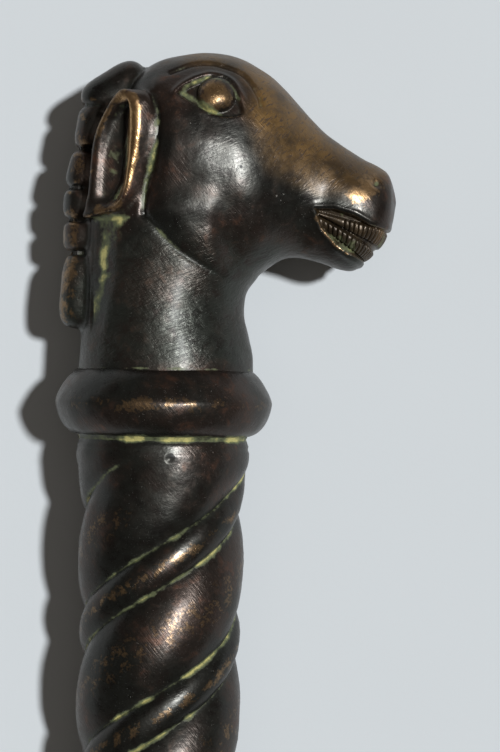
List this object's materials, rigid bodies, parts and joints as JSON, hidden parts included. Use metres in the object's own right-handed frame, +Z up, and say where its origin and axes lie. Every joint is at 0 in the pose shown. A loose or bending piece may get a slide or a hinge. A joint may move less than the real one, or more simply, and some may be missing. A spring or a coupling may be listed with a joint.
{
  "type": "ceremonial mace",
  "caption": "Bronze ceremonial mace with a bared-tooth horse head, a round collar, a spirally twisted grip and a ringed knob at the butt.",
  "frame": {"origin": "on the surface that the mace lies on, under the middle of the collar", "axes": "+Y along the grip to the crown of the head, +X the way the muzzle points, +Z up from the surface that it lies on"},
  "size_m": [0.062, 0.4594, 0.0392],
  "materials": {
    "bronze": "dark brown patinated bronze, coppery where worn, with pale yellow-green residue in the recesses"
  },
  "bodies": {
    "root": {"mace": "bronze"}
  },
  "joints": []
}
